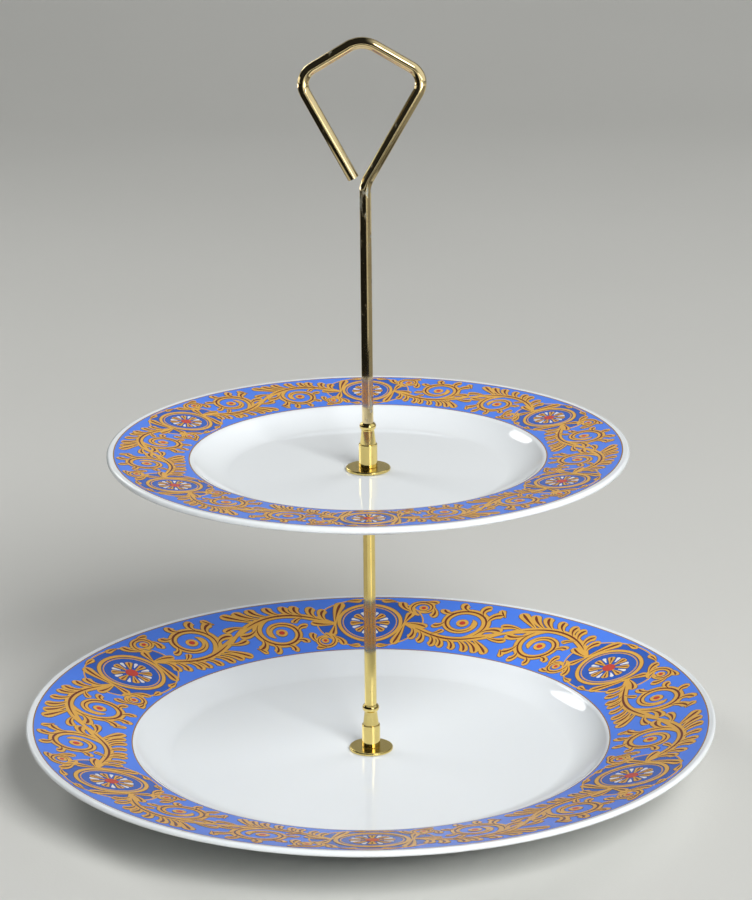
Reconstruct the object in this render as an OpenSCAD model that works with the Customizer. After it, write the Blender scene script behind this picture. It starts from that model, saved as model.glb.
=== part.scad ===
// Two-tier serving tray: two porcelain plates on one screwed stem, with a bent-wire carrying loop.
// The origin lies on the table under the stem, +Z is up, and the carrying loop lies in the XZ plane.
// Threads are drawn as plain shanks and bores, a running clearance apart.

/* [Lower plate] */
// Diameter over the edge
lower_d = 270; // [230:1:320]
// Diameter of the lip, where the rim turns down into the well
lower_lip_d = 185.8; // [150:0.2:210]
// Rise of the rim from the lip to the top of the edge
lower_rim_rise = 10.3; // [4:0.1:16]
// Depth of the well below the lip
lower_well_depth = 6.2; // [4:0.1:10]

/* [Upper plate] */
// Diameter over the edge
upper_d = 200; // [170:1:250]
// Diameter of the lip, where the rim turns down into the well
upper_lip_d = 134.5; // [110:0.5:156]
// Rise of the rim from the lip to the top of the edge
upper_rim_rise = 3.8; // [2:0.2:10]
// Depth of the well below the lip
upper_well_depth = 5.8; // [4:0.1:10]
// Height of the foot ring below the floor
upper_foot_h = 4.6; // [3:0.1:8]

/* [Porcelain] */
// Thickness of the floor, wall and inner rim
floor_t = 4; // [3:0.1:6]
// Thickness of the rim at its edge
edge_t = 2.3; // [1.8:0.1:4]
// Slope of the wall between floor and lip, in degrees
wall_a = 42; // [35:1:60]
// Fillet where the floor turns up into the wall
floor_fillet = 20; // [8:1:24]
// Rounding of the lip
lip_round = 3; // [1:0.25:4]
// Width of the foot ring where it stands
foot_w = 4; // [3:0.25:6]
// How far the foot ring stands in from the base of the wall
foot_inset = 7; // [5:0.5:12]
// Draft of the foot ring on each side
foot_draft = 1.2; // [0.5:0.1:2]
// Play between a plate's hole and the stud that passes through it
hole_play = 1.25; // [0.5:0.05:2]

/* [Rods] */
// Diameter of the lower rod
rod_d = 4.7; // [4.4:0.1:7]
// Length of the lower rod between the lower ferrule and its upper shoulder
rod_l = 86; // [60:0.5:140]
// Diameter of the handle wire
wire_d = 4.4; // [4.2:0.1:6]
// Diameter of every thread
thread_d = 4; // [3:0.1:4.1]
// Radial clearance of a thread, and of a rod in its seat
thread_fit = 0.05; // [0.02:0.01:0.1]
// Gap left between the two thread ends that meet inside a ferrule
end_gap = 1.4; // [0.6:0.1:2.4]
// Chamfer on the end of a thread
thread_chamfer = 0.4; // [0.2:0.1:0.6]

/* [Ferrules] */
// Length of the straight body
body_l = 9.2; // [7:0.1:14]
// Wall of the straight body round the thread
body_wall = 1.6; // [1:0.05:2.5]
// Length of the tapered neck
neck_l = 5.3; // [4:0.1:8]
// Wall of the neck at its narrow end
neck_wall = 0.5; // [0.5:0.05:1]
// How much the neck widens on each side towards the body
neck_taper = 0.6; // [0.1:0.05:0.8]
// Height of the bead at the top
bead_l = 3.3; // [2.6:0.1:4]
// Wall of the bead round the rod
bead_wall = 1; // [0.7:0.05:1.6]
// Depth of the seat that the rod stands in
seat_l = 1.7; // [1:0.1:2.2]

/* [Flanges and pads] */
// Diameter of a pressed flange
flange_d = 17.2; // [14:0.1:26]
// Sheet thickness of a pressed flange
flange_t = 0.5; // [0.4:0.05:0.55]
// Radius of a flange's turned-down edge
flange_round = 0.6; // [0.6:0.05:1]
// Gap between a flange's edge and the plate
flange_gap = 0.2; // [0.1:0.05:0.4]
// Thickness of a felt pad
pad_t = 0.8; // [0.6:0.1:1.6]
// Gap between a pad and the bend of its flange's turned-down edge
pad_gap = 0.3; // [0.1:0.05:0.6]
// Play between a washer's hole and the thread through it
washer_play = 0.2; // [0.1:0.05:0.4]

/* [Base screw] */
// Diameter of the screw's head
head_d = 11; // [8:0.5:16]
// Height of the screw's head
head_h = 2; // [1.4:0.1:4]
// Rounding of the head's lower rim
head_round = 1.2; // [0.5:0.1:1.3]
// Width of the driver slot
slot_w = 1.2; // [0.8:0.1:2]
// Depth of the driver slot
slot_depth = 1; // [0.5:0.1:1.2]
// Diameter of the flat washer over the head
washer_d = 24; // [16:1:40]
// Thickness of the flat washer
washer_t = 1; // [0.8:0.1:2]
// Gap between the screw's head and the table
table_gap = 1.3; // [0.5:0.1:4]

/* [Support nut] */
// Width of the nut across its flats
nut_flats = 8; // [7:0.5:12]
// Height of the nut
nut_h = 5; // [3:0.2:10]

/* [Handle] */
// Length of the shank between its ferrule and the bend
shank_l = 92.6; // [60:0.2:160]
// Width of the carrying loop between its corners
loop_w = 48.5; // [36:0.5:80]
// Height of the loop's corners above the bend
leg_h = 40.5; // [30:0.5:70]
// Height of the loop's top above its corners
crown_h = 14.4; // [8:0.2:24]
// How far the loop sits to one side of the shank
loop_shift = 0.75; // [0:0.05:2]
// Height of the free end above the bend
free_end_h = 2.4; // [1:0.1:6]
// Gap between the free end and the leg beside it
free_end_gap = 0.7; // [0.3:0.1:4]
// Centre-line radius of the bend above the shank
shank_bend_r = 10; // [6:0.5:14]
// Centre-line radius of the loop's two corners
corner_bend_r = 7; // [5:0.5:10]
// Centre-line radius of the loop's top
crown_bend_r = 10; // [6:0.5:14]
// How much the wire draws thinner, all round, where it is bent
bend_thinning = 0.02; // [0.01:0.01:0.1]

/* [Hidden] */
$fn = 96;
// Steps in each rounded corner of an outline
arc_steps = 8;
gold = "#c9a449";
brass = "#b98e3f";
porcelain = "#f1f4f5";
felt = "#5b5f57";

// Rounding of the plates' small corners
hole_round = 0.5;
edge_round = 0.46 * edge_t;
foot_round = 1;
foot_fillet = 1.5;
wall_fillet = 6;
// How far a cutting shape reaches past what it cuts
overshoot = 1;
// Largest share of the wall's length that the floor fillet takes up
fillet_share = 0.85;
// Rounding of a ferrule's body
body_round = 0.3;

// Fits
thread_r = thread_d / 2;
bore_r = thread_r + thread_fit;
hole_r = thread_r + hole_play;
washer_hole_r = thread_r + washer_play;

// Ferrule sizes
ferrule_l = body_l + neck_l + bead_l;
thread_l = (ferrule_l - seat_l - end_gap) / 2;
body_r = thread_r + body_wall;
neck_r = thread_r + neck_wall;

// Heights, stacked upwards from the table
base_stack_t = head_h + washer_t + pad_t;
lower_foot_h = table_gap + base_stack_t;
lower_floor_z = lower_foot_h + floor_t;
flange_h = pad_t + flange_t - flange_gap;
flange_stack_t = pad_t + flange_t;
lower_ferrule_z = lower_floor_z + flange_stack_t;
lower_rod_z = lower_ferrule_z + ferrule_l;
shoulder_z = lower_rod_z + rod_l;
upper_plate_z = shoulder_z + nut_h + flange_stack_t - upper_foot_h;
upper_floor_z = upper_plate_z + upper_foot_h + floor_t;
upper_ferrule_z = upper_floor_z + flange_stack_t;
shank_z = upper_ferrule_z + ferrule_l;

// Carrying loop: corners of the wire's centre line in the XZ plane, measured from the bend
leg_a = atan2(leg_h, loop_w / 2 - loop_shift);
shank_foot = [0, -shank_l - seat_l];
bend_corner = [0, 0];
right_corner = [loop_w / 2 - loop_shift, leg_h];
crown_corner = [-loop_shift, leg_h + crown_h];
left_corner = [-loop_w / 2 - loop_shift, leg_h];
free_end = [free_end_h / tan(leg_a) - free_end_gap - wire_d / sin(leg_a), free_end_h];

// Outline through [x, y, radius] points, with an arc of equal steps at each rounded point.
function unit(v) = v / norm(v);
function flat(p) = [p.x, p.y];
function half_angle(p, q, s) = acos(unit(flat(p) - flat(q)) * unit(flat(s) - flat(q))) / 2;
function turn_angle(p, q, s) =
    sign(cross(flat(q) - flat(p), flat(s) - flat(q))) * (180 - 2 * half_angle(p, q, s));
function arc_at(p, q, s) =
    let (back = unit(flat(p) - flat(q)))
    let (ahead = unit(flat(s) - flat(q)))
    let (half = half_angle(p, q, s))
    let (centre = flat(q) + unit(back + ahead) * q.z / sin(half))
    let (spoke = flat(q) + back * q.z / tan(half) - centre)
    let (start = atan2(spoke.y, spoke.x))
    [
        for (i = [0 : arc_steps])
            let (a = start + turn_angle(p, q, s) * i / arc_steps)
            centre + q.z * [cos(a), sin(a)]
    ];
function rounded(points) =
    let (n = len(points))
    [
        for (i = [0 : n - 1])
            let (q = points[i])
            each q.z == 0 ? [flat(q)] : arc_at(points[(i + n - 1) % n], q, points[(i + 1) % n])
    ];

// Half section of a plate: hole, floor, wall, lip and rim on top, and the foot ring below.
module plate(d, lip_d, rim_rise, well_depth, foot_h) {
    floor_z = foot_h + floor_t;
    lip = [lip_d / 2, floor_z + well_depth];
    edge = [d / 2, lip.y + rim_rise];
    rim_a = atan2(rim_rise, edge.x - lip.x);
    mid_a = (wall_a + rim_a) / 2;
    under_lip = lip + floor_t / cos((wall_a - rim_a) / 2) * [sin(mid_a), -cos(mid_a)];
    wall_base_x = under_lip.x - (under_lip.y - foot_h) / tan(wall_a);
    foot_x = wall_base_x - foot_inset;
    wall_len = well_depth / sin(wall_a);
    fillet = min(floor_fillet, fillet_share * wall_len / tan(wall_a / 2));
    color(porcelain)
        rotate_extrude()
            polygon(rounded([
                [hole_r, foot_h, hole_round],
                [foot_x - foot_w - 2 * foot_draft, foot_h, foot_fillet],
                [foot_x - foot_w - foot_draft, 0, foot_round],
                [foot_x - foot_draft, 0, foot_round],
                [foot_x, foot_h, foot_fillet],
                [wall_base_x, foot_h, wall_fillet],
                [under_lip.x, under_lip.y, lip_round],
                [edge.x, edge.y - edge_t, edge_round],
                [edge.x, edge.y, edge_round],
                [lip.x, lip.y, lip_round],
                [lip.x - well_depth / tan(wall_a), floor_z, fillet],
                [hole_r, floor_z, hole_round],
            ]));
}

// Ring with square edges, such as a pad or a flat washer.
module ring(outer_r, inner_r, height) {
    difference() {
        cylinder(r = outer_r, h = height);
        translate([0, 0, -overshoot])
            cylinder(r = inner_r, h = height + 2 * overshoot);
    }
}

module felt_pad() {
    color(felt)
        ring(flange_d / 2 - flange_round - pad_gap, washer_hole_r, pad_t);
}

// Pressed cap: flat on top, with its edge turned down over the pad.
module flange() {
    outer_r = flange_d / 2;
    inner_round = flange_round - flange_t;
    color(gold)
        rotate_extrude()
            polygon(rounded([
                [washer_hole_r, flange_h - flange_t, 0],
                [outer_r - flange_t, flange_h - flange_t, inner_round],
                [outer_r - flange_t, 0, 0],
                [outer_r, 0, 0],
                [outer_r, flange_h, flange_round],
                [washer_hole_r, flange_h, 0],
            ]));
}

// Turned foot of a rod of diameter d: straight body, tapered neck and a bead, tapped right through.
module ferrule(d) {
    neck_top_z = body_l + neck_l;
    bead_r = bead_l / 2;
    bead_x = d / 2 + bead_wall - bead_r;
    seat_r = d / 2 + thread_fit;
    color(gold)
        rotate_extrude()
            difference() {
                union() {
                    polygon(rounded([
                        [bore_r, 0, 0],
                        [body_r, 0, body_round],
                        [body_r, body_l, body_round],
                        [neck_r + neck_taper, body_l, 0],
                        [neck_r, neck_top_z, 0],
                        [neck_r, ferrule_l - seat_l, 0],
                        [bore_r, ferrule_l - seat_l, 0],
                    ]));
                    translate([bead_x, neck_top_z + bead_r])
                        circle(r = bead_r);
                }
                translate([-ferrule_l, -overshoot])
                    square([ferrule_l + bore_r, ferrule_l + 2 * overshoot]);
                translate([-ferrule_l, ferrule_l - seat_l])
                    square([ferrule_l + seat_r, seat_l + overshoot]);
            }
}

// Plain shank of a thread that ends in a chamfer, pointing up.
module thread(length) {
    cylinder(d = thread_d, h = length - thread_chamfer);
    translate([0, 0, length - thread_chamfer])
        cylinder(r1 = thread_r, r2 = thread_r - thread_chamfer, h = thread_chamfer);
}

// Round wire that starts along +X and bends in the XY plane, with a bend between each two straight runs.
function is_end(points, i) = i == 0 || i == len(points) - 1;
function bend_reach(points, radii, i) =
    is_end(points, i) ? 0 : radii[i - 1] / tan(half_angle(points[i - 1], points[i], points[i + 1]));
function straight_runs(points, radii) = [
    for (i = [0 : len(points) - 2])
        norm(points[i + 1] - points[i]) - bend_reach(points, radii, i) - bend_reach(points, radii, i + 1)
];
function bend_angles(points) = [
    for (i = [1 : len(points) - 2])
        turn_angle(points[i - 1], points[i], points[i + 1])
];

module bent_wire(runs, turns, radii, d, i = 0) {
    rotate([0, 90, 0])
        cylinder(d = d, h = runs[i]);
    if (i < len(turns)) {
        centre_y = sign(turns[i]) * radii[i];
        span = 2 * radii[i] + d;
        translate([runs[i], centre_y, 0]) {
            intersection() {
                rotate_extrude()
                    translate([radii[i], 0])
                        circle(d = d - 2 * bend_thinning);
                translate([0, -span / 2, -d])
                    cube([span, span, 2 * d]);
                rotate(turns[i])
                    translate([-span, -span / 2, -d])
                        cube([span, span, 2 * d]);
            }
            rotate(turns[i])
                translate([0, -centre_y, 0])
                    bent_wire(runs, turns, radii, d, i + 1);
        }
    }
}

module lower_plate() {
    plate(lower_d, lower_lip_d, lower_rim_rise, lower_well_depth, lower_foot_h);
}

module base_screw() {
    color(brass)
        translate([0, 0, table_gap]) {
            difference() {
                rotate_extrude()
                    polygon(rounded([
                        [0, 0, 0],
                        [head_d / 2, 0, head_round],
                        [head_d / 2, head_h, 0],
                        [0, head_h, 0],
                    ]));
                translate([-head_d, -slot_w / 2, -slot_depth])
                    cube([2 * head_d, slot_w, 2 * slot_depth]);
            }
            translate([0, 0, head_h])
                thread(washer_t + pad_t + floor_t + flange_stack_t + thread_l);
        }
}

module base_washer() {
    color(brass)
        translate([0, 0, table_gap + head_h])
            ring(washer_d / 2, washer_hole_r, washer_t);
}

module base_pad() {
    color(felt)
        translate([0, 0, table_gap + head_h + washer_t])
            ring(washer_d / 2, washer_hole_r, pad_t);
}

module lower_pad() {
    translate([0, 0, lower_floor_z])
        felt_pad();
}

module lower_flange() {
    translate([0, 0, lower_floor_z + flange_gap])
        flange();
}

module lower_ferrule() {
    translate([0, 0, lower_ferrule_z])
        ferrule(rod_d);
}

module lower_rod() {
    stud_l = nut_h + 2 * flange_stack_t + floor_t + thread_l;
    color(gold)
        translate([0, 0, lower_rod_z - seat_l]) {
            cylinder(d = rod_d, h = seat_l + rod_l);
            mirror([0, 0, 1])
                thread(thread_l);
            translate([0, 0, seat_l + rod_l])
                thread(stud_l);
        }
}

module support_nut() {
    corner_r = nut_flats / 2 / cos(30);
    chamfer = (corner_r - nut_flats / 2) * tan(30);
    color(brass)
        translate([0, 0, shoulder_z])
            difference() {
                intersection() {
                    cylinder(r = corner_r, h = nut_h, $fn = 6);
                    rotate_extrude()
                        polygon([
                            [0, 0],
                            [nut_flats / 2, 0],
                            [corner_r, chamfer],
                            [corner_r, nut_h - chamfer],
                            [nut_flats / 2, nut_h],
                            [0, nut_h],
                        ]);
                }
                translate([0, 0, -overshoot])
                    cylinder(r = bore_r, h = nut_h + 2 * overshoot);
            }
}

module support_flange() {
    translate([0, 0, shoulder_z + nut_h + flange_h])
        mirror([0, 0, 1])
            flange();
}

module support_pad() {
    translate([0, 0, shoulder_z + nut_h + flange_t])
        felt_pad();
}

module upper_plate() {
    translate([0, 0, upper_plate_z])
        plate(upper_d, upper_lip_d, upper_rim_rise, upper_well_depth, upper_foot_h);
}

module upper_pad() {
    translate([0, 0, upper_floor_z])
        felt_pad();
}

module upper_flange() {
    translate([0, 0, upper_floor_z + flange_gap])
        flange();
}

module upper_ferrule() {
    translate([0, 0, upper_ferrule_z])
        ferrule(wire_d);
}

module handle() {
    points = [shank_foot, bend_corner, right_corner, crown_corner, left_corner, free_end];
    radii = [shank_bend_r, corner_bend_r, crown_bend_r, corner_bend_r];
    color(gold)
        translate([0, 0, shank_z - seat_l]) {
            mirror([0, 0, 1])
                thread(thread_l);
            rotate([0, -90, 0])
                rotate([90, 0, 0])
                    bent_wire(straight_runs(points, radii), bend_angles(points), radii, wire_d);
        }
}

lower_plate();
base_screw();
base_washer();
base_pad();
lower_pad();
lower_flange();
lower_ferrule();
lower_rod();
support_nut();
support_flange();
support_pad();
upper_plate();
upper_pad();
upper_flange();
upper_ferrule();
handle();
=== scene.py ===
from math import atan2, cos, degrees, hypot, pi, radians, sin, sqrt, tan

import bmesh
import bpy
from mathutils import Euler, Matrix, Vector


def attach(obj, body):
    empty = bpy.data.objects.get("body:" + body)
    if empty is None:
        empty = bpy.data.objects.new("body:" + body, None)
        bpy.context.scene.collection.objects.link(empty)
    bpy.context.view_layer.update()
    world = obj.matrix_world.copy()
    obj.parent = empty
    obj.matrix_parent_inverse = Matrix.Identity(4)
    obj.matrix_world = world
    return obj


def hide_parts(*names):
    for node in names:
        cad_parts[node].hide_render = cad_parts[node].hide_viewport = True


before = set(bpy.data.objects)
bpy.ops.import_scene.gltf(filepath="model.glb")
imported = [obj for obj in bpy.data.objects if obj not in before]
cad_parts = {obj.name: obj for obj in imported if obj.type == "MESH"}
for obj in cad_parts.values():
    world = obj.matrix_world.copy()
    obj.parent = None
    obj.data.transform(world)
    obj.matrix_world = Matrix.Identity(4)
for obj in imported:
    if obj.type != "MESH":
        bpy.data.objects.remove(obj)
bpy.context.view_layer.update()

# Lower plate: a dinner plate of white porcelain, pressed in one piece with its foot ring and glazed all
# over but for the face that the ring stands on. A hole is drilled through its middle for the stem.
mm = 0.001
touching = 0.001 * mm
plate_steps = 384
lower_sizes = {
    "edge_r": 135.0,
    "lip_r": 92.9,
    "rim_rise": 10.3,
    "well_depth": 6.2,
    "foot_h": 5.1,
    "foot_z": 0.0,
}
floor_t = 4.0
edge_t = 2.3
edge_round = 0.46 * edge_t
lip_round = 3.0
wall_slope = radians(42)
wall_base_round = 6.0
well_round_share = 0.85
well_round_most = 20.0
hole_r = 3.25
hole_round = 0.5
foot_w = 4.0
foot_inset = 7.0
foot_draft = 1.2
foot_round = 1.0
foot_root_round = 1.5
bare_to = 0.15
glazed_from = 0.35


class Tone:
    """A shader socket in a Python expression: an operator adds a Math node, and node() any other node."""

    def __init__(self, tree, socket):
        self.tree = tree
        self.socket = socket

    def feed(self, node, inputs):
        for name, value in inputs.items():
            if isinstance(value, Tone):
                self.tree.links.new(value.socket, node.inputs[name])
            else:
                node.inputs[name].default_value = value

    def node(self, kind, settings, inputs, output=0):
        made = self.tree.nodes.new("ShaderNode" + kind)
        for name, value in settings.items():
            setattr(made, name, value)
        self.feed(made, inputs)
        return Tone(self.tree, made.outputs[output])

    def math(self, operation, first, second):
        return self.node("Math", {"operation": operation}, {0: first, 1: second})

    def __add__(self, other):
        return self.math("ADD", self, other)

    def __sub__(self, other):
        return self.math("SUBTRACT", self, other)

    def __rsub__(self, other):
        return self.math("SUBTRACT", other, self)

    def __mul__(self, other):
        return self.math("MULTIPLY", self, other)

    __radd__ = __add__
    __rmul__ = __mul__

    def along(self, axis):
        """The part of a place or direction along X, Y or Z."""
        return self.node("SeparateXYZ", {}, {"Vector": self}, axis)

    def noise(self, scale, detail=2.0):
        return self.node("TexNoise", {}, {"Vector": self, "Scale": scale, "Detail": detail})

    def ease(self, low, high):
        """0 where the value is at low or beyond, 1 at high or beyond, and smooth between them."""
        limits = {"Value": self, "From Min": low, "From Max": high}
        return self.node("MapRange", {"interpolation_type": "SMOOTHSTEP"}, limits)

    def mix(self, first, second):
        """From the first colour, where the value is 0, to the second, where it is 1."""
        return self.node("Mix", {"data_type": "RGBA"}, {0: self, 6: first, 7: second}, output=2)

    def bump(self, height):
        return self.node("Bump", {}, {"Height": self, "Distance": height, "Strength": 1.0})


def new_finish(name):
    """A new material, its Object coordinates to write expressions with, and its shader."""
    material = bpy.data.materials.new(name)
    material.use_nodes = True
    tree = material.node_tree
    place = Tone(tree, tree.nodes.new("ShaderNodeTexCoord").outputs["Object"])
    return material, place, tree.nodes["Principled BSDF"]


def pick(test):
    """Selects, in edit mode, the vertices whose place passes the test and deselects the rest."""
    bpy.ops.mesh.select_all(action="DESELECT")
    shape = bmesh.from_edit_mesh(bpy.context.edit_object.data)
    for vertex in shape.verts:
        vertex.select_set(test(vertex.co))
    shape.select_flush_mode()
    bmesh.update_edit_mesh(bpy.context.edit_object.data)


def take_up(piece):
    """Selects one piece alone and makes it the one that the operators act on."""
    bpy.ops.object.select_all(action="DESELECT")
    piece.select_set(True)
    bpy.context.view_layer.objects.active = piece


def smoothed(piece, angle=35):
    """Smooth shading up to an angle between faces, with wide flat faces kept flat."""
    take_up(piece)
    bpy.ops.object.shade_smooth_by_angle(angle=radians(angle))
    even = piece.modifiers.new("even", "WEIGHTED_NORMAL")
    even.keep_sharp = True
    bpy.ops.object.modifier_apply(modifier=even.name)


def closed_up():
    """Merges what spinning or extruding left double and points every face outwards, in edit mode."""
    bpy.ops.mesh.select_all(action="SELECT")
    bpy.ops.mesh.remove_doubles(threshold=touching)
    bpy.ops.mesh.normals_make_consistent(inside=False)
    bpy.ops.object.mode_set(mode="OBJECT")


def turned(name, outline, steps=96, segments=8):
    """A piece turned about the stem: its half section has corners (radius, height, rounding) in mm."""
    corners = [Vector((r, 0, z)) * mm for r, z, _ in outline]
    hollow = corners[0].x > 0
    bpy.ops.object.select_all(action="DESELECT")
    bpy.ops.mesh.primitive_plane_add(size=mm)
    piece = bpy.context.object
    piece.name = name
    bpy.ops.object.mode_set(mode="EDIT")
    bpy.ops.mesh.merge(type="CENTER")
    bpy.ops.transform.translate(value=corners[0])
    path = corners + corners[:1] if hollow else corners
    for near, far in zip(path, path[1:]):
        bpy.ops.mesh.extrude_vertices_move(TRANSFORM_OT_translate={"value": far - near})
    bpy.ops.mesh.select_all(action="SELECT")
    bpy.ops.mesh.remove_doubles(threshold=touching)
    for i, corner in enumerate(corners):
        rounding = outline[i][2] * mm
        if rounding:
            before = corners[i - 1] - corner
            after = corners[(i + 1) % len(corners)] - corner
            pick(lambda place: (place - corner).length < touching)
            reach = rounding / tan(before.angle(after) / 2)
            bpy.ops.mesh.bevel(affect="VERTICES", offset=reach, segments=segments)
    bpy.ops.mesh.select_all(action="SELECT")
    bpy.ops.mesh.spin(steps=steps, angle=2 * pi, center=(0, 0, 0), axis=(0, 0, 1))
    closed_up()
    smoothed(piece)
    return piece


def plate(name, edge_r, lip_r, rim_rise, well_depth, foot_h, foot_z):
    """A plate: hole, underside, foot ring, underside of the rim, edge, lip, well; sizes in mm."""
    under_z = foot_z + foot_h
    floor_z = under_z + floor_t
    lip = Vector((lip_r, floor_z + well_depth))
    edge = Vector((edge_r, lip.y + rim_rise))
    rim_slope = atan2(rim_rise, edge_r - lip_r)
    bisector = (wall_slope + rim_slope) / 2
    wall = floor_t / cos((wall_slope - rim_slope) / 2)
    under_lip = lip + wall * Vector((sin(bisector), -cos(bisector)))
    wall_base = under_lip.x - (under_lip.y - under_z) / tan(wall_slope)
    foot = wall_base - foot_inset
    well_room = well_depth / sin(wall_slope) / tan(wall_slope / 2)
    return turned(name, [
        (hole_r, under_z, hole_round),
        (foot - foot_w - 2 * foot_draft, under_z, foot_root_round),
        (foot - foot_w - foot_draft, foot_z, foot_round),
        (foot - foot_draft, foot_z, foot_round),
        (foot, under_z, foot_root_round),
        (wall_base, under_z, wall_base_round),
        (under_lip.x, under_lip.y, lip_round),
        (edge.x, edge.y - edge_t, edge_round),
        (edge.x, edge.y, edge_round),
        (lip.x, lip.y, lip_round),
        (lip.x - well_depth / tan(wall_slope), floor_z, min(well_round_most, well_round_share * well_room)),
        (hole_r, floor_z, hole_round),
    ], plate_steps)


def porcelain(name, foot_z):
    """Glossy white glaze, a little uneven in tone, that leaves the foot ring's face bare and creamy."""
    material, place, shader = new_finish(name)
    bare = place.along("Z").ease((foot_z + glazed_from) * mm, (foot_z + bare_to) * mm)
    white = place.noise(9.0).mix((0.77, 0.81, 0.835, 1), (0.81, 0.84, 0.855, 1))
    biscuit = place.noise(700.0).mix((0.60, 0.55, 0.46, 1), (0.70, 0.66, 0.57, 1))
    place.feed(shader, {
        "Base Color": bare.mix(white, biscuit),
        "Roughness": 0.025 + 0.03 * place.noise(60.0) + 0.5 * bare,
        "Normal": place.noise(160.0).bump(0.002 * mm),
        "IOR": 1.52,
    })
    return material


def dressed(piece, material, body):
    """Gives a piece its finish and the body that it moves with."""
    piece.data.materials.append(material)
    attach(piece, body)


def fitted(piece, material, node, body):
    """Dresses a piece that stands for a CAD node."""
    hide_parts(node)
    dressed(piece, material, body)


lower_plate = plate("lower_plate_glazed", **lower_sizes)
lower_porcelain = porcelain("lower_porcelain", lower_sizes["foot_z"])
fitted(lower_plate, lower_porcelain, "lower_plate", "lower_plate")

# Printed rim of the lower plate: an on-glaze transfer fired into the glaze. Ochre scrolls with brown veins
# run round a cornflower-blue band, between six oval royal-blue fields that hold a rosette each. It is drawn
# flat in mm, x along the rim and y across it, as strokes of points (x, y, half width).
repeats = 6
repeat_l = 118.4
sheet_half = 19.1
medallion = repeat_l / 2
field_r = 17.4
field_stretch = 1.3
stem_l = 44.4
stem_rise = 9.2
stem_half = 1.7
stem_steps = 26
stem_end = 0.45
taper_steps = 6.5
spiral_eye = (-20.0, -3.0)
tendril_eye = (-38.0, -11.6)
leaf_shares = (0, 0.14, 0.28, 0.42, 0.55, 0.67, 0.77, 0.85, 0.91, 0.955, 0.985, 1)
vein_from = 0.12
vein_to = 0.86
vein_share = 0.28
shade_w = 0.28
line_w = 0.5
sunk = -0.02
stacking = 0.0005
least_half = 0.03
print_crease = 20
cornflower = (0.065, 0.215, 0.860, 1)
royal_blue = (0.016, 0.098, 0.490, 1)
ochre = (0.740, 0.400, 0.062, 1)
bronze = (0.300, 0.165, 0.055, 1)
umber = (0.090, 0.050, 0.045, 1)
burgundy = (0.165, 0.028, 0.010, 1)
white_enamel = (0.80, 0.79, 0.76, 1)
red_enamel = (0.56, 0.045, 0.025, 1)


def comma(share):
    """Width of a leaf that swells towards a round tip."""
    stalk, full, tip = 0.22, 0.80, 0.84
    body = stalk + (1 - stalk) * min(1.0, share / full) ** 1.2
    return body * sqrt(max(0.0, 1 - ((share - tip) / (1 - tip)) ** 2)) if share > tip else body


def drop(share):
    """Width of a drop with a round head and a thin tail."""
    head, tail = 0.30, 0.08
    if share < head:
        return sqrt(1 - ((head - share) / head) ** 2)
    return 1 - (1 - tail) * ((share - head) / (1 - head)) ** 1.3


def frond(x, y, heading, length, curl, width, swell=comma):
    """A leaf or drop that leaves (x, y) and curls more and more towards its tip."""
    stroke = [(x, y, width * swell(0))]
    for near, far in zip(leaf_shares, leaf_shares[1:]):
        bend = radians(heading + curl * ((near + far) / 2) ** 1.7)
        x += length * (far - near) * cos(bend)
        y += length * (far - near) * sin(bend)
        stroke.append((x, y, width * swell(far)))
    return stroke


def leaf(host, share, spread, length, curl, width):
    """A leaf that grows from a stroke, at a share of its length, spread degrees off its direction."""
    i = min(len(host) - 2, int(share * (len(host) - 1)))
    (x, y, _), (next_x, next_y, _) = host[i], host[i + 1]
    heading = degrees(atan2(next_y - y, next_x - x))
    return frond(x, y, heading + spread, length, curl, width)


def disc(x, y, radius, steps=20, stretch=1.0):
    """A round or long spot, drawn as one stroke from side to side."""
    turns = [pi * i / steps for i in range(steps + 1)]
    return [(x - stretch * radius * cos(turn), y, radius * sin(turn)) for turn in turns]


def ring(x, y, radius, half_width, steps=48, stretch=1.0):
    """A closed circle or oval of one width; its last point is its first."""
    turns = [2 * pi * (i % steps) / steps for i in range(steps + 1)]
    return [(x + stretch * radius * cos(turn), y + radius * sin(turn), half_width) for turn in turns]


def swirl(x, y, far, near, start, sweep, width, steps=48):
    """A spiral round (x, y) from the far radius in to the near one, through a sweep in degrees."""
    stroke = []
    for i in range(steps + 1):
        share = i / steps
        radius = far * (near / far) ** share
        turn = radians(start + sweep * share)
        starting = 0.30 + 7 * share
        ending = 0.10 + 14 * (1 - share)
        half = width * min(1.0, starting, ending) * (1 - 0.45 * share)
        stroke.append((x + radius * cos(turn), y + radius * sin(turn), half))
    return stroke


def vein(stroke):
    """The dark rib in the middle of a stroke, thin at both its ends."""
    last = len(stroke) - 1
    start, stop = max(1, int(vein_from * last)), int(vein_to * last)
    rib = []
    for i in range(start, stop + 1):
        x, y, half = stroke[i]
        rib.append((x, y, vein_share * half * sqrt(sin(pi * (i - start) / (stop - start)))))
    return rib


def round_trip(strokes):
    """The strokes and their copies turned half way round the middle of the repeat."""
    return strokes + [[(-x, -y, half) for x, y, half in stroke] for stroke in strokes]


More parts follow.
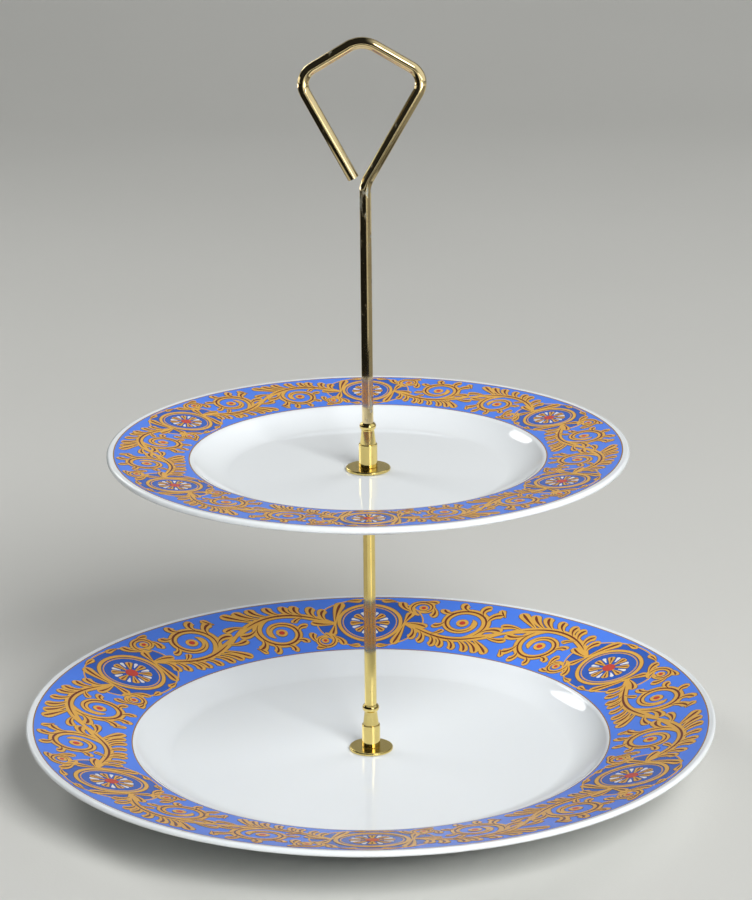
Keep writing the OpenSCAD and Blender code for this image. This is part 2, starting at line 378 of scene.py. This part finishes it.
def scrollwork():
    """One repeat of the running scroll: stem, two spirals, and the leaves and drops that fill the band."""
    stem = []
    for i in range(stem_steps + 1):
        x = -stem_l + stem_l * i / stem_steps
        taper = min(1, stem_end + min(i, stem_steps - i) / taper_steps)
        stem.append((x, stem_rise * sin(pi * i / stem_steps), stem_half * taper))
    spiral = swirl(*spiral_eye, far=12.2, near=4.8, start=98, sweep=-500, width=2.1)
    tendril = swirl(*tendril_eye, far=5.4, near=2.7, start=100, sweep=400, width=1.4, steps=30)
    # The stroke that each leaf grows from, its share along it, spread, length, curl and width.
    leaves = [
        (spiral, 0.13, 12, 11.5, 90, 2.20),
        (spiral, 0.21, 12, 10.6, 100, 2.20),
        (spiral, 0.29, 12, 9.0, 120, 2.10),
        (spiral, 0.37, 14, 7.6, 130, 2.00),
        (spiral, 0.45, 16, 7.0, 130, 1.90),
        (spiral, 0.55, 18, 7.6, 110, 1.80),
        (stem, 0.08, 30, 9.4, 85, 2.05),
        (stem, 0.18, 24, 9.8, 90, 2.10),
        (stem, 0.28, 22, 9.4, 90, 2.10),
        (stem, 0.38, 22, 9.0, 88, 2.05),
        (stem, 0.48, 28, 9.4, 78, 2.05),
        (stem, 0.58, 38, 11.0, 66, 2.15),
        (stem, 0.67, 44, 12.8, 48, 2.15),
        (stem, 0.76, 58, 14.6, 16, 2.15),
        (stem, 0.86, 50, 10.5, -60, 1.90),
        (stem, 0.03, -34, 10.5, 40, 1.80),
        (stem, 0.30, -40, 7.0, -50, 1.40),
        (stem, 0.00, 66, 16.0, 16, 2.15),
        (stem, 0.00, -110, 8.0, 10, 1.80),
        (tendril, 0.60, -26, 8.0, 80, 1.80),
        (tendril, 0.42, -22, 6.0, 60, 1.60),
        (tendril, 0.10, -30, 9.0, 70, 1.80),
    ]
    # Each drop's place, heading, length, curl and width.
    drops = [
        (-7.8, -16.0, 66, 6.2, -30, 1.45),
        (-56.4, 16.2, 6, 6.2, -24, 1.40),
        (-54.6, -16.0, -6, 6.0, 30, 1.40),
    ]
    strokes = [stem, spiral, tendril] + [leaf(*one) for one in leaves]
    strokes += [frond(*one, swell=drop) for one in drops]
    return round_trip(strokes)


def widened(strokes, extra):
    return [[(x, y, half + extra) for x, y, half in stroke] for stroke in strokes]


def rosette(petals, start, near, far, width):
    """Petals round a medallion's middle, between two radii."""
    strokes = []
    for i in range(petals):
        heading = start + 360 * i / petals
        x = medallion + near * cos(radians(heading))
        y = near * sin(radians(heading))
        strokes.append(frond(x, y, heading, far - near, 0, width))
    return strokes


def enamel(name, colour):
    """Fired enamel: its colour lies a little thicker here and thinner there, under a soft gloss."""
    material, place, shader = new_finish(name)
    thin = tuple(0.90 * part + 0.02 for part in colour[:3]) + (1,)
    thick = tuple(min(1.0, 1.06 * part) for part in colour[:3]) + (1,)
    place.feed(shader, {
        "Base Color": (0.6 * place.noise(90.0) + 0.4 * place.noise(900.0)).mix(thin, thick),
        "Roughness": 0.13 + 0.12 * place.noise(500.0),
        "Normal": place.noise(1500.0).bump(0.003 * mm),
        "IOR": 1.50,
    })
    return material


def printed_rim(plate_name, sizes, inner_r, outer_r):
    """Lays the transfer on a plate's rim, layer on layer, as closed ribbons a few hundredths of a mm high."""
    lip_r = sizes["lip_r"]
    lip_z = sizes["foot_z"] + sizes["foot_h"] + floor_t + sizes["well_depth"]
    slope = atan2(sizes["rim_rise"], sizes["edge_r"] - lip_r)
    middle_r = (inner_r + outer_r) / 2
    band_half = (outer_r - inner_r) / 2

    def height(r, lift):
        return lip_z + (r - lip_r) * tan(slope) + lift / cos(slope)

    def printed(piece, colour):
        dressed(piece, enamel(piece.name, colour), plate_name)

    def hoop(layer, near, far, lift, colour):
        """A ring of print all round the rim."""
        corners = [(near, sunk), (far, sunk), (far, lift), (near, lift)]
        outline = [(r, height(r, up), 0) for r, up in corners]
        printed(turned(plate_name + layer, outline, plate_steps), colour)

    def ribbons(layer, strokes, lift, colour):
        """Strokes in every repeat; each lies a hair higher than the one before, so no two faces coincide."""
        places = []
        faces = []
        for turn in range(repeats):
            for order, stroke in enumerate(strokes):
                closed = stroke[0] == stroke[-1]
                points = stroke[:-1] if closed else stroke
                count = len(points)
                first = len(places)
                top = lift + stacking * order
                for i, (x, y, half) in enumerate(points):
                    back = points[i - 1] if closed or i else points[0]
                    ahead = points[(i + 1) % count] if closed or i + 1 < count else points[i]
                    run_x, run_y = ahead[0] - back[0], ahead[1] - back[1]
                    run = hypot(run_x, run_y)
                    half = max(half, least_half)
                    for side, up in ((half, top), (-half, top), (-half, sunk), (half, sunk)):
                        r = middle_r + (y + side * run_x / run) * band_half / sheet_half
                        share = (x - side * run_y / run) / repeat_l
                        angle = (share + turn) * 2 * pi / repeats
                        places.append(Vector((r * cos(angle), r * sin(angle), height(r, up))) * mm)
                for i in range(count if closed else count - 1):
                    here = first + 4 * i
                    there = first + 4 * ((i + 1) % count)
                    for a, b in ((0, 1), (1, 2), (2, 3), (3, 0)):
                        faces.append((here + a, here + b, there + b, there + a))
                if not closed:
                    end = first + 4 * (count - 1)
                    faces.append((first + 3, first + 2, first + 1, first))
                    faces.append((end, end + 1, end + 2, end + 3))
        mesh = bpy.data.meshes.new(plate_name + layer)
        mesh.from_pydata(places, [], faces)
        piece = bpy.data.objects.new(plate_name + layer, mesh)
        bpy.context.scene.collection.objects.link(piece)
        take_up(piece)
        bpy.ops.object.mode_set(mode="EDIT")
        bpy.ops.mesh.select_all(action="SELECT")
        bpy.ops.mesh.normals_make_consistent(inside=False)
        bpy.ops.object.mode_set(mode="OBJECT")
        bpy.ops.object.shade_smooth_by_angle(angle=radians(print_crease))
        printed(piece, colour)

    scrolls = scrollwork()
    buds = round_trip([disc(*spiral_eye, radius=2.6), disc(*tendril_eye, radius=1.8)])
    spots = round_trip([disc(*spiral_eye, radius=1.3), disc(*tendril_eye, radius=0.9)])
    gold_petals = rosette(8, start=0, near=2.8, far=8.4, width=1.5)
    white_petals = rosette(8, start=22.5, near=4.6, far=8.2, width=0.75)
    rings = [
        ring(medallion, 0, radius=13.1, half_width=0.75),
        ring(medallion, 0, radius=11.4, half_width=0.22),
        ring(medallion, 0, radius=field_r, half_width=0.3, steps=64, stretch=field_stretch),
    ]
    hoop("_ground", inner_r, outer_r, lift=0.02, colour=cornflower)
    hoop("_inner_line", inner_r, inner_r + line_w, lift=0.04, colour=bronze)
    hoop("_outer_line", outer_r - line_w, outer_r, lift=0.04, colour=bronze)
    fields = [disc(medallion, 0, field_r, steps=48, stretch=field_stretch)]
    ribbons("_medallions", fields, lift=0.045, colour=royal_blue)
    shades = widened(scrolls + buds + gold_petals + rings[:1], shade_w)
    ribbons("_shades", shades, lift=0.07, colour=umber)
    ribbons("_scrolls", scrolls + buds + gold_petals + rings, lift=0.12, colour=ochre)
    ribbons("_veins", [vein(stroke) for stroke in scrolls + gold_petals], lift=0.17, colour=burgundy)
    ribbons("_white_petals", white_petals, lift=0.13, colour=white_enamel)
    ribbons("_red_spots", [disc(medallion, 0, radius=2.6)] + spots, lift=0.17, colour=red_enamel)


printed_rim("lower_plate", lower_sizes, inner_r=93.7, outer_r=132.4)

# Base screw, washer and felt: the slotted brass screw that pulls the stem down on the lower plate, with a
# flat washer and a felt disc between its head and the porcelain. All three stand clear of the table.
thread_r = 2.0
thread_pitch = 0.7
thread_depth = 0.4
thread_end_r = 1.6
thread_chamfer = 0.4
flank_slope = 1.8
crest_share = 0.3
rings_per_pitch = 8
shank_slack = 0.01
bore_r = 2.2
head_r = 5.5
head_z = 1.3
head_slot_w = 1.2
head_slot_depth = 1.0
washer_r = 12.0
washer_z = 3.3
washer_t = 1.0
screw_thread_z = 9.0
screw_top = 17.75
felt_t = 0.8
felt_gap = 0.02


def threaded(piece, low, high):
    """Cuts a helical thread into the shank of a turned piece between two heights, in mm."""
    for vertex in piece.data.vertices:
        x, y, z = vertex.co / mm
        if abs(hypot(x, y) - thread_r) < shank_slack and low <= z <= high:
            phase = (z / thread_pitch - atan2(y, x) / (2 * pi)) % 1
            flank = min(1.0, max(0.0, flank_slope * abs(2 * phase - 1) - crest_share))
            run_out = min(1.0, (z - low) / thread_pitch, (high - z) / thread_pitch)
            cut = 1 - thread_depth / thread_r * flank * run_out
            vertex.co.x *= cut
            vertex.co.y *= cut


def shank(low, high):
    """The outline of a threaded length from one height to the other, in steps fine enough for its thread."""
    count = round(abs(high - low) / thread_pitch * rings_per_pitch)
    return [(thread_r, low + (high - low) * i / count, 0) for i in range(count + 1)]


def brass(name):
    """Plain machined brass with a fine grain, dulled unevenly by handling."""
    material, place, shader = new_finish(name)
    dull = place.noise(120.0, 3.0)
    place.feed(shader, {
        "Base Color": dull.mix((0.72, 0.50, 0.20, 1), (0.84, 0.64, 0.30, 1)),
        "Metallic": 1.0,
        "Roughness": 0.22 + 0.18 * dull,
        "Normal": place.noise(2500.0).bump(0.004 * mm),
    })
    return material


def felt(name):
    """Dense grey felt: matted fibres of several tones, with a little fuzz."""
    material, place, shader = new_finish(name)
    fibre = place.noise(2200.0, 4.0)
    place.feed(shader, {
        "Base Color": fibre.mix((0.05, 0.055, 0.05, 1), (0.17, 0.18, 0.16, 1)),
        "Roughness": 0.95,
        "Sheen Weight": 0.3,
        "Normal": fibre.bump(0.15 * mm),
    })
    return material


def felt_ring(name, outer_r, low, material, node, body):
    """A punched ring of felt that stands on height low, clamped flat."""
    base = low + felt_gap
    top = low + felt_t - felt_gap
    section = [(bore_r, base, 0.15), (outer_r, base, 0.25), (outer_r, top, 0.25), (bore_r, top, 0.15)]
    piece = turned(name, section)
    fitted(piece, material, node, body)


base_brass = brass("base_brass")
grey_felt = felt("grey_felt")
screw = turned("base_screw_turned", [
    (0, head_z, 0),
    (head_r, head_z, 1.2),
    (head_r, washer_z, 0.1),
    *shank(washer_z, screw_top - thread_chamfer),
    (thread_end_r, screw_top, 0),
    (0, screw_top, 0),
])
threaded(screw, screw_thread_z, screw_top - thread_chamfer)
bpy.ops.object.select_all(action="DESELECT")
bpy.ops.mesh.primitive_cube_add(size=1, location=(0, 0, head_z * mm))
slot_cutter = bpy.context.object
slot_cutter.scale = (4 * head_r * mm, head_slot_w * mm, 2 * head_slot_depth * mm)
bpy.ops.object.transform_apply(location=True, rotation=False, scale=True)
bpy.context.view_layer.objects.active = screw
cut = screw.modifiers.new("slot", "BOOLEAN")
cut.object = slot_cutter
cut.solver = "EXACT"
bpy.ops.object.modifier_apply(modifier=cut.name)
bpy.data.objects.remove(slot_cutter)
fitted(screw, base_brass, "base_screw", "stem")
washer_top = washer_z + washer_t
washer = turned("base_washer_pressed", [
    (bore_r, washer_z, 0.1),
    (washer_r, washer_z, 0.25),
    (washer_r, washer_top, 0.1),
    (bore_r, washer_top, 0.1),
])
fitted(washer, base_brass, "base_washer", "stem")
felt_ring("base_pad_felt", washer_r, washer_top, grey_felt, "base_pad", "stem")

# Lower flange and its felt: a thin brass disc, pressed into a shallow cap whose edge turns down over a
# felt pad, and gold plated. It spreads the ferrule's load on the floor of the well.
lower_floor = lower_sizes["foot_h"] + floor_t
flange_r = 8.6
flange_t = 0.5
flange_h = 1.1
flange_gap = 0.2
flange_felt_r = 7.7


def gold_plate(name, dullness):
    """Gold plating on brass, polished or a little dull, with clouded tone and pin-head pits."""
    material, place, shader = new_finish(name)
    cloud = place.noise(150.0, 3.0)
    pits = place.noise(1400.0, 2.0).ease(0.68, 0.76)
    plated = cloud.mix((0.82, 0.62, 0.19, 1), (0.90, 0.73, 0.29, 1))
    place.feed(shader, {
        "Base Color": pits.mix(plated, (0.34, 0.22, 0.08, 1)),
        "Metallic": 1.0,
        "Roughness": dullness + 0.06 * cloud + 0.2 * pits,
        "Normal": place.noise(400.0, 2.0).bump(0.005 * mm),
    })
    return material


def pressed_flange(name, low, side, node, body):
    """A cap that stands on height low and is pressed upwards, or downwards where side is -1; mm."""
    inside = low + side * (flange_h - flange_t)
    outside = low + side * flange_h
    piece = turned(name, [
        (bore_r, inside, 0),
        (flange_r - flange_t, inside, 0.1),
        (flange_r - flange_t, low, 0.05),
        (flange_r, low, 0.1),
        (flange_r, outside, 0.6),
        (bore_r, outside, 0.1),
    ])
    fitted(piece, gold_plate(name, dullness=0.2), node, body)


felt_ring("lower_pad_felt", flange_felt_r, lower_floor, grey_felt, "lower_pad", "stem")
pressed_flange("lower_flange_pressed", lower_floor + flange_gap, 1, "lower_flange", "stem")

# Lower ferrule: the turned foot of the lower rod, gold-plated brass with a straight body, a tapered neck
# and a bead. It is tapped right through: the base screw comes up into it and the rod down.
rod_r = 2.35
tapped_r = 2.05
body_r = 3.6
body_h = 9.2
neck_foot_r = 3.1
neck_r = 2.5
neck_h = 14.5
bead_r = 1.65
bead_proud = 1.0
bead_steps = 24
bead_from = -54
bead_turn = 118
seat_h = 16.1
socket_depth = 1.5
socket_gap = 0.05


def ferrule(name, foot_z, held_r, node, body):
    """A ferrule that stands on height foot_z and holds a rod or wire of radius held_r; mm."""
    neck_z = foot_z + neck_h
    seat_z = foot_z + seat_h
    bead_x = held_r + bead_proud - bead_r
    bead = []
    for i in range(bead_steps + 1):
        turn = radians(bead_from + bead_turn * i / bead_steps)
        bead.append((bead_x + bead_r * cos(turn), neck_z + bead_r + bead_r * sin(turn), 0))
    piece = turned(name, [
        (tapped_r, foot_z, 0.1),
        (body_r, foot_z, 0.3),
        (body_r, foot_z + body_h, 0.3),
        (neck_foot_r, foot_z + body_h, 0),
        (neck_r, neck_z, 0),
        *bead,
        (held_r + socket_gap, seat_z + socket_depth, 0),
        (held_r + socket_gap, seat_z, 0),
        (tapped_r, seat_z, 0),
    ])
    fitted(piece, gold_plate(name, dullness=0.07), node, body)


ferrule("lower_ferrule_turned", lower_floor + flange_gap + flange_h, rod_r, "lower_ferrule", "stem")

# Lower rod: drawn brass rod, gold plated, cut to length and threaded at both ends. Its upper thread is the
# long stud that goes through the nut, the upper plate and its flanges, and on which the handle screws.
rod_low = 19.15
rod_foot = 26.5
rod_head = 114.2
rod_top = 133.15
rod = turned("lower_rod_drawn", [
    (0, rod_low, 0),
    (thread_end_r, rod_low, 0),
    *shank(rod_low + thread_chamfer, rod_foot),
    (rod_r, rod_foot, 0.15),
    (rod_r, rod_head, 0.15),
    *shank(rod_head, rod_top - thread_chamfer),
    (thread_end_r, rod_top, 0),
    (0, rod_top, 0),
])
threaded(rod, rod_low + thread_chamfer, rod_foot - thread_pitch)
threaded(rod, rod_head + thread_pitch, rod_top - thread_chamfer)
fitted(rod, gold_plate("rod_gold", dullness=0.04), "lower_rod", "stem")

# Support nut, flange and felt: a hexagon nut runs on the stud down to the rod's shoulder and carries the
# upper plate on an upturned flange, with a felt pad between them. They sit in the plate's shadow.
upper_under = 120.5
nut_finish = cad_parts["support_nut"].data.materials
nut_finish.clear()
nut_finish.append(base_brass)
pressed_flange("support_flange_pressed", upper_under - flange_gap, -1, "support_flange", "stem")
felt_ring("support_pad_felt", flange_felt_r, upper_under - felt_t, grey_felt, "support_pad", "stem")

# Upper plate: the dessert plate of the same service, with the same glaze and a smaller print of the same
# transfer. It is drilled like the lower one, and turns on the stud when it is pushed.
upper_sizes = {
    "edge_r": 100.0,
    "lip_r": 67.25,
    "rim_rise": 3.8,
    "well_depth": 5.8,
    "foot_h": 4.6,
    "foot_z": 115.9,
}
upper_plate = plate("upper_plate_glazed", **upper_sizes)
upper_porcelain = porcelain("upper_porcelain", upper_sizes["foot_z"])
fitted(upper_plate, upper_porcelain, "upper_plate", "upper_plate")
printed_rim("upper_plate", upper_sizes, inner_r=68.3, outer_r=97.5)

# Upper flange, its felt and the upper ferrule: the same pressed cap and turned foot as on the lower plate,
# for the thinner wire of the handle.
upper_floor = upper_under + floor_t
wire_r = 2.2
felt_ring("upper_pad_felt", flange_felt_r, upper_floor, grey_felt, "upper_pad", "upper_plate")
pressed_flange("upper_flange_pressed", upper_floor + flange_gap, 1, "upper_flange", "upper_plate")
ferrule("upper_ferrule_turned", upper_floor + flange_gap + flange_h, wire_r, "upper_ferrule", "upper_ferrule")

# Handle: one length of gold-plated wire, threaded at its foot and bent by hand into an open carrying loop
# that ends beside its own shank. The plating is worn through in streaks below the bend.
wire_path = [(0, 141.9), (0, 236.2), (23.5, 276.7), (-0.75, 291.05), (-25.0, 276.7), (-4.394, 238.6)]
wire_sides = 40
bend_radii = [10, 7, 10, 7]
bend_steps = 16
stud_low = 134.55
stud_thread_top = 141.4
stud_top = 142.2


def worn_gold(name):
    """The plating of the handle, with grey metal showing in streaks where the shank is held and rubbed."""
    material, place, shader = new_finish(name)
    height = place.along("Z")
    cloud = place.noise(150.0, 3.0)
    pits = place.noise(1400.0, 2.0).ease(0.67, 0.75)
    gripped = height.ease(221 * mm, 227 * mm) * height.ease(236 * mm, 233 * mm)
    rubbed = height.ease(186 * mm, 191 * mm) * height.ease(201 * mm, 196 * mm)
    streaks = place.node("Mapping", {}, {"Vector": place, "Scale": (1, 1, 0.4)}).noise(420.0, 4.0)
    worn = (streaks + 0.14 * gripped + 0.09 * rubbed).ease(0.63, 0.72)
    plated = cloud.mix((0.80, 0.61, 0.29, 1), (0.89, 0.73, 0.42, 1))
    place.feed(shader, {
        "Base Color": pits.mix(worn.mix(plated, (0.37, 0.37, 0.31, 1)), (0.30, 0.20, 0.08, 1)),
        "Metallic": 1 - 0.4 * worn,
        "Roughness": 0.04 + 0.06 * cloud + 0.2 * worn + 0.2 * pits,
        "Normal": (place.noise(400.0, 2.0) - 0.5 * worn).bump(0.006 * mm),
    })
    return material


corners = [Vector((x, 0, z)) * mm for x, z in wire_path]
bpy.ops.object.select_all(action="DESELECT")
bpy.ops.mesh.primitive_circle_add(vertices=wire_sides, radius=wire_r * mm, fill_type="NGON")
handle = bpy.context.object
handle.name = "handle_bent"
bpy.ops.object.mode_set(mode="EDIT")
bpy.ops.transform.translate(value=corners[0])
end = corners[0]
for before, corner, after, radius in zip(corners, corners[1:], corners[2:], bend_radii):
    arriving = (corner - before).normalized()
    leaving = (after - corner).normalized()
    angle = arriving.angle(leaving)
    start = corner - arriving * radius * mm * tan(angle / 2)
    axis = arriving.cross(leaving).normalized()
    centre = start + axis.cross(arriving) * radius * mm
    bpy.ops.mesh.extrude_region_move(TRANSFORM_OT_translate={"value": start - end})
    bpy.ops.mesh.spin(steps=bend_steps, angle=angle, center=centre, axis=-axis)
    end = corner + leaving * radius * mm * tan(angle / 2)
bpy.ops.mesh.extrude_region_move(TRANSFORM_OT_translate={"value": corners[-1] - end})
closed_up()
smoothed(handle)
handle_gold = worn_gold("handle_gold")
fitted(handle, handle_gold, "handle", "handle")
stud = turned("handle_stud", [
    (0, stud_low, 0),
    (thread_end_r, stud_low, 0),
    *shank(stud_low + thread_chamfer, stud_top),
    (0, stud_top, 0),
])
threaded(stud, stud_low + thread_chamfer, stud_thread_top)
dressed(stud, handle_gold, "handle")

# Floor and backdrop: a sweep of pale grey paper that runs back and curves up behind the tray. In front and
# at the sides, where little light falls, the paper glows for the camera alone: painted light that keeps it
# pale.
paper_w = 8.0
paper_d = 4.0
paper_h = 3.0
paper_shift = 0.2
paper_curve = 0.9
bpy.ops.object.select_all(action="DESELECT")
bpy.ops.mesh.primitive_plane_add(size=1)
sweep = bpy.context.object
sweep.name = "paper_sweep"
bpy.ops.object.mode_set(mode="EDIT")
bpy.ops.transform.resize(value=(paper_w, paper_d, 1))
bpy.ops.transform.translate(value=(0, paper_shift, 0))
pick(lambda place: place.y > paper_d / 2)
bpy.ops.mesh.extrude_region_move(TRANSFORM_OT_translate={"value": (0, 0, paper_h)})
pick(lambda place: place.y > paper_d / 2 and place.z < paper_h / 2)
bpy.ops.mesh.bevel(offset=paper_curve, segments=24)
bpy.ops.object.mode_set(mode="OBJECT")
bpy.ops.object.shade_smooth()
paper, paper_place, paper_shader = new_finish("grey_paper")
paper_seen = paper_place.node("LightPath", {}, {}, "Is Camera Ray")
paper_x = paper_place.along("X")
paper_painted_glow_share = 1 - (1 - paper_place.along("Y").ease(-0.7, -1.7)) * (1 - (paper_x * paper_x).ease(0.8, 4.0))
paper_place.feed(paper_shader, {
    # Painted light: a glow that only the camera sees, strongest on the paper in front and at the sides.
    "Emission Color": (paper_painted_glow_share * paper_seen).mix((0, 0, 0, 1), (0.62, 0.63, 0.62, 1)),
    "Emission Strength": 1.0,
    "Base Color": paper_place.noise(3.0).mix((0.60, 0.60, 0.57, 1), (0.64, 0.64, 0.61, 1)),
    "Roughness": 0.85,
    "Normal": paper_place.noise(900.0).bump(0.05 * mm),
})
sweep.data.materials.append(paper)

# Light: a large soft lamp in front on the right, a smaller one behind on each side and a weak wide one in
# front light the tray. Two small round ones only show as gleams in its glaze and gilding. The surround is
# almost dark, but the camera sees it pale, and mirror-bright surfaces see a pale wall on the right.
lamp_aim = (0, 0, 0.1)
gleam_aim = (0.07, 0.03, 0.07)
world = bpy.data.worlds.new("studio")
bpy.context.scene.world = world
world.use_nodes = True
surround = world.node_tree.nodes["Background"]
towards = Tone(world.node_tree, world.node_tree.nodes.new("ShaderNodeTexCoord").outputs["Generated"])
seen = towards.node("LightPath", {}, {}, "Is Camera Ray")
mirrored = towards.node("LightPath", {}, {}, "Is Glossy Ray")
rightward = towards.along("X").ease(0.1, 0.7)
towards.feed(surround, {
    "Color": (0.93, 0.97, 1.0, 1),
    "Strength": 0.04 + seen * 0.8 + mirrored * (0.85 * rightward - 0.02),
})


def softbox(name, place, target, width, height, power):
    """A lamp of a width and height in metres and a power in watts, turned to its target."""
    lamp = bpy.data.lights.new(name, "AREA")
    lamp.shape = "RECTANGLE"
    lamp.size = width
    lamp.size_y = height
    lamp.energy = power
    box = bpy.data.objects.new(name, lamp)
    bpy.context.scene.collection.objects.link(box)
    box.location = place
    box.rotation_euler = (Vector(target) - Vector(place)).to_track_quat("-Z", "Y").to_euler()
    return box


for lamp_name, lamp_place, lamp_width, lamp_height, lamp_power in (
    ("key_lamp", (0.75, -1.45, 1.2), 0.9, 0.9, 44),
    ("left_back_lamp", (-1.02, 0.64, 1.14), 0.6, 0.6, 7),
    ("right_back_lamp", (1.1, 0.9, 1.3), 0.8, 0.8, 9),
    ("front_lamp", (0.1, -1.9, 0.9), 1.2, 0.8, 5),
):
    softbox(lamp_name, lamp_place, lamp_aim, lamp_width, lamp_height, lamp_power).visible_glossy = False
for lamp_name, lamp_place, lamp_size, lamp_power in (
    ("window", (-0.41, 0.66, 0.545), 0.27, 0.8),
    ("key_gleam", (0.75, -1.45, 1.2), 0.4, 3),
):
    gleam = softbox(lamp_name, lamp_place, gleam_aim, lamp_size, lamp_size, lamp_power)
    gleam.data.shape = "ELLIPSE"
    gleam.visible_diffuse = False

# Cards: curved boards round the tray, out of the picture, that light nothing and glow only in the gilding and
# the glaze, as painted reflections. Black ones in front and on the left paint the handle's dark stripe, paler
# ones and bright strips paint its lights, and mats on the floor paint the lower rod's tones.
card_steps = 24
far_r = 0.46
near_r = 0.2
black_glow = 0.012
dim_glow = 0.25


def card(name, low, high, start, turn, glow):
    """A board between two places (distance from the stem, height), swept leftwards from an angle that is
    counted from the front to the right."""
    bpy.ops.object.select_all(action="DESELECT")
    bpy.ops.mesh.primitive_plane_add(size=1)
    board = bpy.context.object
    board.name = name
    out = Vector((sin(radians(start)), -cos(radians(start)), 0))
    bpy.ops.object.mode_set(mode="EDIT")
    bpy.ops.mesh.merge(type="CENTER")
    bpy.ops.transform.translate(value=out * low[0] + Vector((0, 0, low[1])))
    rise = out * (high[0] - low[0]) + Vector((0, 0, high[1] - low[1]))
    bpy.ops.mesh.extrude_vertices_move(TRANSFORM_OT_translate={"value": rise})
    bpy.ops.mesh.select_all(action="SELECT")
    bpy.ops.mesh.spin(steps=card_steps, angle=radians(turn), center=(0, 0, 0), axis=(0, 0, 1))
    bpy.ops.object.mode_set(mode="OBJECT")
    surface, place, shader = new_finish(name)
    surface.cycles.emission_sampling = "NONE"
    # Painted reflection: the board glows, though it is no lamp, and only glossy rays see it.
    place.feed(shader, {
        "Base Color": (0, 0, 0, 1),
        "Specular IOR Level": 0,
        "Emission Color": (1, 1, 0.97, 1),
        "Emission Strength": glow,
    })
    board.data.materials.append(surface)
    board.visible_camera = False
    board.visible_diffuse = False
    board.visible_shadow = False


for board_sizes in (
    ("black_card", (far_r, 0.005), (far_r, 0.155), 12, 140, black_glow),
    ("pale_card", (far_r, 0.05), (far_r, 0.14), 42, 30, 0.48),
    ("low_black_card", (far_r, 0.005), (far_r, 0.05), 42, 30, black_glow),
    ("dim_card", (far_r, 0.005), (far_r, 0.155), 112, 70, dim_glow),
    ("near_black_card", (near_r, 0.106), (near_r, 0.172), -20, 125, black_glow),
    ("near_dim_card", (near_r, 0.106), (near_r, 0.172), 145, 103, dim_glow),
    ("near_dark_card", (near_r, 0.075), (near_r, 0.106), 125, 70, 0.06),
    ("high_black_card", (0.3, 0.195), (0.3, 0.245), -10, 90, black_glow),
    ("right_strip", (far_r, 0.245), (far_r, 0.282), 40, 24, 4.2),
    ("left_strip", (far_r, 0.245), (far_r, 0.282), -104, 44, 3.2),
    ("low_right_strip", (far_r, 0.14), (far_r, 0.212), 40, 24, 4.2),
    ("low_left_strip", (far_r, 0.16), (far_r, 0.212), -104, 44, 3.2),
    ("left_band", (near_r, 0.26), (near_r, 0.31), -80, 60, 1.1),
    ("dim_mat", (0.18, 0.004), (far_r, 0.004), -40, 88, 0.45),
    ("bright_mat", (0.18, 0.004), (0.34, 0.004), 47, 25, 1.15),
    ("dark_mat", (0.34, 0.004), (far_r, 0.004), 75, 60, 0.05),
):
    card(*board_sizes)

# Camera: a long lens a little above the tray, looking down on both wells, and rolled by half a degree as
# the photograph is.
pitch = 17.08
yaw = -0.15
roll = -0.57
lens = bpy.data.cameras.new("camera")
lens.sensor_width = 36
lens.lens = 127.44
camera = bpy.data.objects.new("camera", lens)
bpy.context.scene.collection.objects.link(camera)
tilt = Euler((radians(90 - pitch), 0, radians(yaw))).to_matrix() @ Matrix.Rotation(radians(roll), 3, "Z")
camera.rotation_euler = tilt.to_euler()
camera.location = (0, -1.1675, 0.491)
bpy.context.scene.camera = camera
bpy.context.scene.view_settings.view_transform = "Standard"
